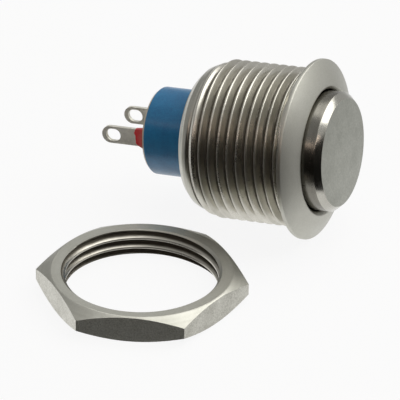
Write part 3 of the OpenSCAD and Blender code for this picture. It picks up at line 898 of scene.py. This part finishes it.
@dataclass
class Resin:
    """The poured resin behind the neck, slightly domed where it wets the terminals."""

    r: float = 3.872
    steps: int = 96

    def build(self, finishes: Finishes) -> bpy.types.Object:
        """Makes the piece.

        Args:
            finishes: The switch's finishes.

        Returns:
            The finished object.
        """
        shape = Shape()
        shape.turn([(0, -15.705), (self.r, -15.705), (self.r, -16.49), (4.14, -16.505), (4.2, -16.56), (4.18, -16.68),
                    (4.05, -16.75), (3.7, -16.79), (2.4, -16.8), (1.2, -16.78), (0, -16.77)], self.steps)
        piece = shape.finish("switch_resin", IN_MODULE, (finishes.resin,), 50.0)
        settle(piece, Body.SWITCH, "cream_resin", "sealing_resin")
        return piece


@dataclass
class Terminal:
    """A tinned solder terminal: a round-ended blade with an oval eye, and its foot inside the housing."""

    side: int
    name: str
    node: str
    tip: float = -21.85
    half_spacing: float = 2.625
    rise: float = 0.12
    width: float = 1.8
    thickness: float = 0.4
    eye_length: float = 1.6
    eye_width: float = 1.3
    margin: float = 0.45
    foot: float = -14.1
    segments: int = 64

    def build(self, finishes: Finishes) -> bpy.types.Object:
        """Makes the piece.

        Args:
            finishes: The switch's finishes.

        Returns:
            The finished object.
        """
        shape = Shape()
        outer = self._loop(shape, self.width / 2, self.tip + self.width / 2, None)
        eye_r = self.eye_width / 2
        low = self.tip + self.margin + eye_r
        inner = self._loop(shape, eye_r, low, low + self.eye_length - self.eye_width)
        bmesh.ops.bridge_loops(shape.bm, edges=outer + inner)
        made = bmesh.ops.extrude_face_region(shape.bm, geom=shape.bm.faces[:])["geom"]
        fresh = [g for g in made if isinstance(g, bmesh.types.BMVert)]
        bmesh.ops.translate(shape.bm, verts=fresh, vec=(0, self.thickness, 0))
        bmesh.ops.recalc_face_normals(shape.bm, faces=shape.bm.faces)
        shape.soften(0.07, 3, 40.0)
        bmesh.ops.translate(shape.bm, verts=shape.bm.verts, vec=(0, -self.thickness / 2, 0))
        bmesh.ops.translate(shape.bm, verts=shape.bm.verts,
                            vec=(-self.rise, self.side * self.half_spacing, 0))
        self._add_foot(shape)
        piece = shape.finish(self.name, IN_MODULE, (finishes.tin,), 50.0)
        settle(piece, Body.SWITCH, "tinned_brass", self.node)
        return piece

    def _loop(self, shape: Shape, r: float, low: float, high: float | None) -> list:
        """Draws a round-ended outline from a circle whose front half is moved.

        Args:
            shape: The mesh.
            r: Radius of the round end.
            low: Height of the round end's middle.
            high: Height of the other end's middle, or None for a straight end at the foot.

        Returns:
            The outline's edges.
        """
        turn = Matrix.Translation((0, 0, low)) @ Matrix.Rotation(math.pi / 2, 4, "X")
        made = bmesh.ops.create_circle(shape.bm, cap_ends=False, radius=r, segments=self.segments, matrix=turn)
        verts = made["verts"]
        for v in verts:
            if v.co.z > low + 1e-4:
                v.co.z = self.foot if high is None else v.co.z + high - low
        return list({e for v in verts for e in v.link_edges})

    def _add_foot(self, shape: Shape) -> None:
        """Adds the foot that is bent in over the housing's floor."""
        reach = self.half_spacing - 1.475
        place = Matrix.Translation((-self.rise, self.side * (1.475 + reach / 2), self.foot - self.thickness / 2))
        size = Matrix.Diagonal((self.width, reach, self.thickness, 1))
        bmesh.ops.create_cube(shape.bm, size=1.0, matrix=place @ size)


@dataclass
class PolarityBand:
    """The red lacquer band brushed round the root of the near terminal, with a run at its lower edge."""

    half_spacing: float = 2.625
    rise: float = 0.12
    width: float = 1.9
    thickness: float = 0.5
    root: float = -16.52
    length: float = 1.58

    def build(self, finishes: Finishes) -> bpy.types.Object:
        """Makes the piece.

        Args:
            finishes: The switch's finishes.

        Returns:
            The finished object.
        """
        shape = Shape()
        bm = shape.bm
        bmesh.ops.create_grid(bm, x_segments=1, y_segments=1, size=0.5,
                              matrix=Matrix.Translation((0, 0, self.root)) @ Matrix.Diagonal(
                                  (self.width, self.thickness, 1, 1)))
        bmesh.ops.bevel(bm, geom=bm.verts[:], offset=0.12, offset_type="OFFSET", segments=4, profile=0.5,
                        affect="VERTICES", clamp_overlap=True, material=-1)
        long_edges = [e for e in bm.edges if e.calc_length() > 0.2]
        bmesh.ops.subdivide_edges(bm, edges=long_edges, cuts=10)
        made = bmesh.ops.extrude_face_region(bm, geom=bm.faces[:])["geom"]
        fresh = [g for g in made if isinstance(g, bmesh.types.BMVert)]
        bmesh.ops.translate(bm, verts=fresh, vec=(0, 0, -self.length))
        bmesh.ops.subdivide_edges(bm, edges=[e for e in bm.edges if e.calc_length() > self.length * 0.9], cuts=12)
        for v in bm.verts:
            v.co += self._run(v.co)
        end = [f for f in bm.faces if len(f.verts) > 8]
        bmesh.ops.delete(bm, geom=end, context="FACES_ONLY")
        bmesh.ops.contextual_create(bm, geom=[e for e in bm.edges if e.is_boundary and e.verts[0].co.z > self.root - 0.01])
        bmesh.ops.contextual_create(bm, geom=[e for e in bm.edges if e.is_boundary and e.verts[0].co.z < self.root - 0.01])
        bmesh.ops.triangulate(bm, faces=[f for f in bm.faces if len(f.verts) > 4])
        bmesh.ops.translate(bm, verts=bm.verts, vec=(-self.rise, -self.half_spacing, 0))
        piece = shape.finish("terminal_band", IN_MODULE, (finishes.lacquer,), 60.0)
        settle(piece, Body.SWITCH, "red_lacquer", "polarity_band")
        return piece

    def _run(self, place: Vector) -> Vector:
        """How far a point of the band is off its plain shape: slanted edge, thick middle and lower run."""
        depth = (self.root - place.z) / self.length
        low = max(0.0, place.x) / (self.width / 2)
        wave = 0.05 * math.sin(5.1 * place.x + 1.3) + 0.03 * math.sin(11.0 * place.x + 9.0 * place.y)
        slant = 0.42 * max(0.0, low - 0.2) ** 1.5 * depth
        swell = 1.0 + 0.06 * math.sin(math.pi * min(depth * 1.15, 1.0))
        thin = max(0.0, depth - 0.86) / 0.14
        squeeze = swell - 0.05 * thin ** 2
        drip = 0.14 * max(0.0, low - 0.75) / 0.25 * math.exp(-((depth - 0.68) / 0.16) ** 2)
        return Vector((place.x * (squeeze - 1) + drip, place.y * (squeeze - 1), slant + wave * depth))


@dataclass
class PanelNut:
    """The thin hexagon nut, flat on the table, with corner chamfers and a true inner thread."""

    x: float = -9.65
    y: float = -19.05
    turn: float = math.radians(17.7)
    flats: float = 18.0
    thickness: float = 2.75
    land_r: float = 8.86
    slope: float = math.tan(math.radians(28))
    minor_r: float = 7.4587
    major_r: float = 8.0
    sink: float = 0.3
    groove_start: float = 0.063
    cuts: int = 23
    steps: int = 120
    pitch: float = 1.0

    def build(self, finishes: Finishes) -> bpy.types.Object:
        """Makes the piece.

        Args:
            finishes: The switch's finishes.

        Returns:
            The finished object.
        """
        shape = Shape()
        shape.screw(self._tapped(), self.pitch, 6, self.steps)
        shape.radial(self._countersunk)
        low_hole = shape.cut_flat(0, True)
        top_hole = shape.cut_flat(self.thickness, False)
        for face in shape.bm.faces:
            middle = face.calc_center_median()
            sunk = self._countersunk(0, middle.z)
            face.material_index = 0 if math.hypot(middle.x, middle.y) < sunk + 0.01 < self.major_r else 2
        rim = self._hexagon(shape)
        top = self._cap(shape, rim, self.thickness, 1)
        low_rim = self._walls(shape, rim)
        low = self._cap(shape, low_rim, 0, -1)
        bmesh.ops.triangle_fill(shape.bm, use_beauty=True, edges=top + top_hole, normal=(0, 0, 1))
        bmesh.ops.triangle_fill(shape.bm, use_beauty=True, edges=low + low_hole, normal=(0, 0, -1))
        place = Matrix.Translation((self.x, self.y, TABLE_Z)) @ Matrix.Rotation(self.turn, 4, "Z")
        piece = shape.finish("switch_nut", place, (finishes.nut_face, finishes.nut_flat, finishes.nut_thread), 12.0)
        settle(piece, Body.SWITCH, "nut_steel", "panel_nut")
        return piece

    def _tapped(self) -> list[tuple[float, float]]:
        """One pitch of the inner thread's section, from ridge to ridge across a groove."""
        depth = self.major_r - self.minor_r
        flank = depth * math.tan(math.radians(30))
        half = self.pitch / 16
        side = [(self.minor_r, 0.5 * self.pitch), (self.minor_r + 0.012, half + flank * 1.1),
                (self.minor_r + 0.07, half + flank * 0.93), ((self.minor_r + self.major_r) / 2, half + flank * 0.5),
                (self.major_r - 0.06, half + flank * 0.1), (self.major_r - 0.01, half * 0.5)]
        middle = self.groove_start - 2 * self.pitch
        return [(r, middle - z) for r, z in side] + [(r, middle + z) for r, z in reversed(side)]

    def _countersunk(self, r: float, z: float) -> float:
        """The radius left by the countersinks at both ends of the thread."""
        return max(r, self.minor_r + self.sink - z, self.minor_r + self.sink - (self.thickness - z))

    def _hexagon(self, shape: Shape) -> list:
        """Draws the hexagon's upper edge, with each side cut up and dropped onto the corner chamfer."""
        turn = Matrix.Translation((0, 0, self.thickness + 2)) @ Matrix.Rotation(math.pi / 6, 4, "Z")
        made = bmesh.ops.create_circle(shape.bm, cap_ends=False, radius=self.flats / math.sqrt(3), segments=6,
                                       matrix=turn)
        sides = list({e for v in made["verts"] for e in v.link_edges})
        bmesh.ops.subdivide_edges(shape.bm, edges=sides, cuts=self.cuts)
        rim = [e for e in shape.bm.edges if e.verts[0].co.z > self.thickness + 1]
        for v in {v for e in rim for v in e.verts}:
            v.co.z = self.thickness - (math.hypot(v.co.x, v.co.y) - self.land_r) * self.slope
        return rim

    def _cap(self, shape: Shape, rim: list, height: float, up: int) -> list:
        """Draws the chamfer from a hexagon edge in to the round land.

        Args:
            shape: The mesh.
            rim: The hexagon's edges.
            height: Height of the land.
            up: 1 for the upper face and -1 for the lower one.

        Returns:
            The land's inner edges, ready to be filled to the hole.
        """
        ease = 0.05
        outer = shape.draw_out(rim, self.land_r + ease, height - up * ease * self.slope, 0)
        return shape.draw_out(outer, self.land_r - ease, height, 0)

    def _walls(self, shape: Shape, rim: list) -> list:
        """Draws the six flats down from the upper hexagon edge.

        Args:
            shape: The mesh.
            rim: The upper edge.

        Returns:
            The lower edge.
        """
        made = bmesh.ops.extrude_edge_only(shape.bm, edges=rim)["geom"]
        fresh = {g for g in made if isinstance(g, bmesh.types.BMVert)}
        for v in fresh:
            v.co.z = self.thickness - v.co.z
        for g in made:
            if isinstance(g, bmesh.types.BMFace):
                g.material_index = 1
        return [g for g in made if isinstance(g, bmesh.types.BMEdge) and set(g.verts) <= fresh]


@dataclass
class InnerParts:
    """The sealed pieces whose construction nodes stay, each with its own finish."""

    def dress(self, finishes: Finishes) -> None:
        """Gives each node its material.

        Args:
            finishes: The switch's finishes.
        """
        wanted = {
            "stem_seal": finishes.rubber, "lid_gasket": finishes.rubber, "stem_snap_ring": finishes.spring,
            "return_spring": finishes.spring, "contact_spring": finishes.spring, "spring_washer": finishes.spring,
            "plunger_clip": finishes.spring, "plunger": finishes.white, "contact_lid": finishes.white,
            "contact_bridge": finishes.brass, "bridge_contact_near": finishes.silver,
            "bridge_contact_far": finishes.silver, "fixed_contact_near": finishes.silver,
            "fixed_contact_far": finishes.silver,
        }
        for name, material in wanted.items():
            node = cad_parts[name]
            node.data.materials.clear()
            node.data.materials.append(material)
            LOG.info("%s keeps its shape with finish %s", name, material.name)


@dataclass
class Card:
    """An upright card bent round the set, out of the photograph, that the metal shows."""

    name: str
    start: float
    end: float
    low: float
    high: float
    radius: float = 0.62

    def build(self, material: bpy.types.Material) -> None:
        """Makes the card.

        Args:
            material: Its finish.
        """
        bm = bmesh.new()
        foot, head = (self.radius * math.tan(math.radians(k)) for k in (self.low, self.high))
        place = Matrix.Rotation(math.radians(self.start), 4, "Z")
        verts = [bm.verts.new(place @ Vector((self.radius, 0, z))) for z in (foot, head)]
        edge = bm.edges.new(verts)
        bmesh.ops.spin(bm, geom=verts + [edge], cent=(0, 0, 0), axis=(0, 0, 1),
                       angle=math.radians(self.end - self.start), steps=48)
        mesh = bpy.data.meshes.new(self.name)
        bm.to_mesh(mesh)
        bm.free()
        mesh.materials.append(material)
        card = bpy.data.objects.new(self.name, mesh)
        bpy.context.scene.collection.objects.link(card)


@dataclass
class Studio:
    """A white table, soft light from above, a dark room in front of it, and the photograph's camera."""

    overhead_power: float = 3.9
    side_power: float = 0.38
    fill: float = 0.2
    table_show: float = 0.9

    def build(self) -> None:
        """Sets up table, cards, light, world, camera and colour management."""
        self._table()
        # Painted shade: the dark room card is a dark sheet put where the room in front is only in shade, shown in the
        # metal's reflections and blocking bounce light; the warm strip card above it glows as a warm strip light. The
        # camera looks through both.
        Card("dark_room_card", 198, 364, -42, 29).build(self._card_finish("dark_room", (0.012, 0.011, 0.009), 0.0))
        Card("warm_strip_card", 205, 345, 31, 35).build(self._card_finish("warm_strip", (1.0, 0.80, 0.69), 1.7))
        self._lamps()
        self._world()
        self._camera()
        bpy.context.scene.view_settings.view_transform = "Standard"

    def _table(self) -> None:
        """Adds the white table that the switch lies on."""
        bm = bmesh.new()
        bmesh.ops.create_grid(bm, x_segments=4, y_segments=4, size=3.0,
                              matrix=Matrix.Translation((0, 0, TABLE_Z * MM - 0.00002)))
        mesh = bpy.data.meshes.new("table_top")
        bm.to_mesh(mesh)
        bm.free()
        table = bpy.data.objects.new("table_top", mesh)
        bpy.context.scene.collection.objects.link(table)
        material, s, shader = blank_material("white_table")
        shader.inputs["Base Color"].default_value = rgba(0.8, 0.8, 0.8)
        shader.inputs["Roughness"].default_value = 0.9
        path = s.add("ShaderNodeLightPath").node.outputs
        glow = s.add("ShaderNodeEmission", Color=rgba(1, 1, 1), Strength=1.0)
        shown = s.add("ShaderNodeMixShader", i0=s.math("MULTIPLY", path["Is Camera Ray"], self.table_show),
                      i1=shader.outputs[0], i2=glow)
        echoed = s.math("MAXIMUM", path["Is Glossy Ray"], path["Is Transmission Ray"])
        clear = s.add("ShaderNodeBsdfTransparent")
        both = s.add("ShaderNodeMixShader", i0=echoed, i1=shown, i2=clear)
        out = next(n for n in material.node_tree.nodes if n.type == "OUTPUT_MATERIAL")
        material.node_tree.links.new(both, out.inputs["Surface"])
        mesh.materials.append(material)

    @staticmethod
    def _card_finish(name: str, colour: tuple[float, float, float], glow: float) -> bpy.types.Material:
        """Makes a card's finish, which the camera looks through.

        Args:
            name: The material's name.
            colour: The card's colour.
            glow: Strength of its light.

        Returns:
            The material.
        """
        material, s, shader = blank_material(name)
        shader.inputs["Base Color"].default_value = rgba(*colour)
        shader.inputs["Roughness"].default_value = 0.9
        shader.inputs["Emission Color"].default_value = rgba(*colour)
        shader.inputs["Emission Strength"].default_value = glow
        path = s.add("ShaderNodeLightPath").node.outputs
        clear = s.add("ShaderNodeBsdfTransparent")
        both = s.add("ShaderNodeMixShader", i0=path["Is Camera Ray"], i1=shader.outputs[0], i2=clear)
        out = next(n for n in material.node_tree.nodes if n.type == "OUTPUT_MATERIAL")
        material.node_tree.links.new(both, out.inputs["Surface"])
        return material

    def _lamps(self) -> None:
        """Adds the large soft lamp above the switch and the small one at the button's side."""
        for name, power, wide, high, place in (
            ("overhead_softbox", self.overhead_power, 0.9, 0.9, (0.16, 0.24, 0.6)),
            ("side_softbox", self.side_power, 0.42, 0.2, (0.355, 0.258, 0.409)),
        ):
            lamp = bpy.data.lights.new(name, "AREA")
            lamp.shape = "RECTANGLE"
            lamp.size = wide
            lamp.size_y = high
            lamp.energy = power
            lamp.color = (1.0, 0.995, 0.98)
            holder = bpy.data.objects.new(name, lamp)
            holder.location = place
            holder.rotation_mode = "QUATERNION"
            holder.rotation_quaternion = (-Vector(place)).to_track_quat("-Z", "Y")
            bpy.context.scene.collection.objects.link(holder)

    def _world(self) -> None:
        """Fills the room with plain dim light, shows it white and lets the metal show it."""
        world = bpy.data.worlds.new("studio")
        bpy.context.scene.world = world
        world.use_nodes = True
        s = Shader(world.node_tree)
        back = next(n for n in world.node_tree.nodes if n.type == "BACKGROUND")
        back.inputs["Color"].default_value = rgba(1, 1, 1)
        path = s.add("ShaderNodeLightPath").node.outputs
        echoed = s.math("MAXIMUM", path["Is Glossy Ray"], path["Is Transmission Ray"])
        toward = s.add("ShaderNodeSeparateXYZ", Vector=s.add("ShaderNodeTexCoord", out="Generated")).node.outputs
        above = s.ramp(toward["X"], -0.6, 0.6, 0.40, 0.62)
        deep = s.ramp(toward["Z"], -0.25, -0.7, 0.5, 1.05)
        below = s.ramp(toward["X"], -0.5, 0.2, 1.0, deep)
        room = s.ramp(toward["Z"], 0.03, -0.08, above, below)
        level = s.ramp(echoed, 0.0, 1.0, self.fill, room)
        level = s.math("MAXIMUM", level, path["Is Camera Ray"])
        world.node_tree.links.new(level, back.inputs["Strength"])

    @staticmethod
    def _camera() -> None:
        """Adds the camera that was fitted to the photograph."""
        azimuth, elevation, roll = (math.radians(k) for k in (23.797, 29.611, 0.999))
        back = Vector((math.sin(azimuth) * math.cos(elevation), -math.cos(azimuth) * math.cos(elevation),
                       math.sin(elevation)))
        right = Vector((math.cos(azimuth), math.sin(azimuth), 0))
        up = back.cross(right)
        right, up = (math.cos(roll) * right + math.sin(roll) * up, -math.sin(roll) * right + math.cos(roll) * up)
        target = Vector((0, 0, 3.4541)) + right * -11.183 + up * -8.067
        data = bpy.data.cameras.new("photo_camera")
        data.sensor_width = 36.0
        data.lens = 356.0
        data.clip_start, data.clip_end = 0.01, 20.0
        camera = bpy.data.objects.new("photo_camera", data)
        place = Matrix((right, up, back)).transposed().to_4x4()
        place.translation = (target + back * 389.4) * MM
        camera.matrix_world = place
        bpy.context.scene.collection.objects.link(camera)
        bpy.context.scene.camera = camera


def main() -> None:
    """Builds the switch, its nut and the studio."""
    logging.basicConfig(level=logging.INFO, format="%(name)s: %(message)s")
    effects = Effects()
    finishes = Finishes.build(effects)
    Barrel().build(finishes)
    Button().build(finishes)
    Housing().build(finishes)
    Resin().build(finishes)
    Terminal(-1, "terminal_blade_near", "terminal_near", tip=-21.8).build(finishes)
    Terminal(1, "terminal_blade_far", "terminal_far").build(finishes)
    PolarityBand().build(finishes)
    PanelNut().build(finishes)
    InnerParts().dress(finishes)
    Studio().build()


if __name__ == "__main__":
    main()
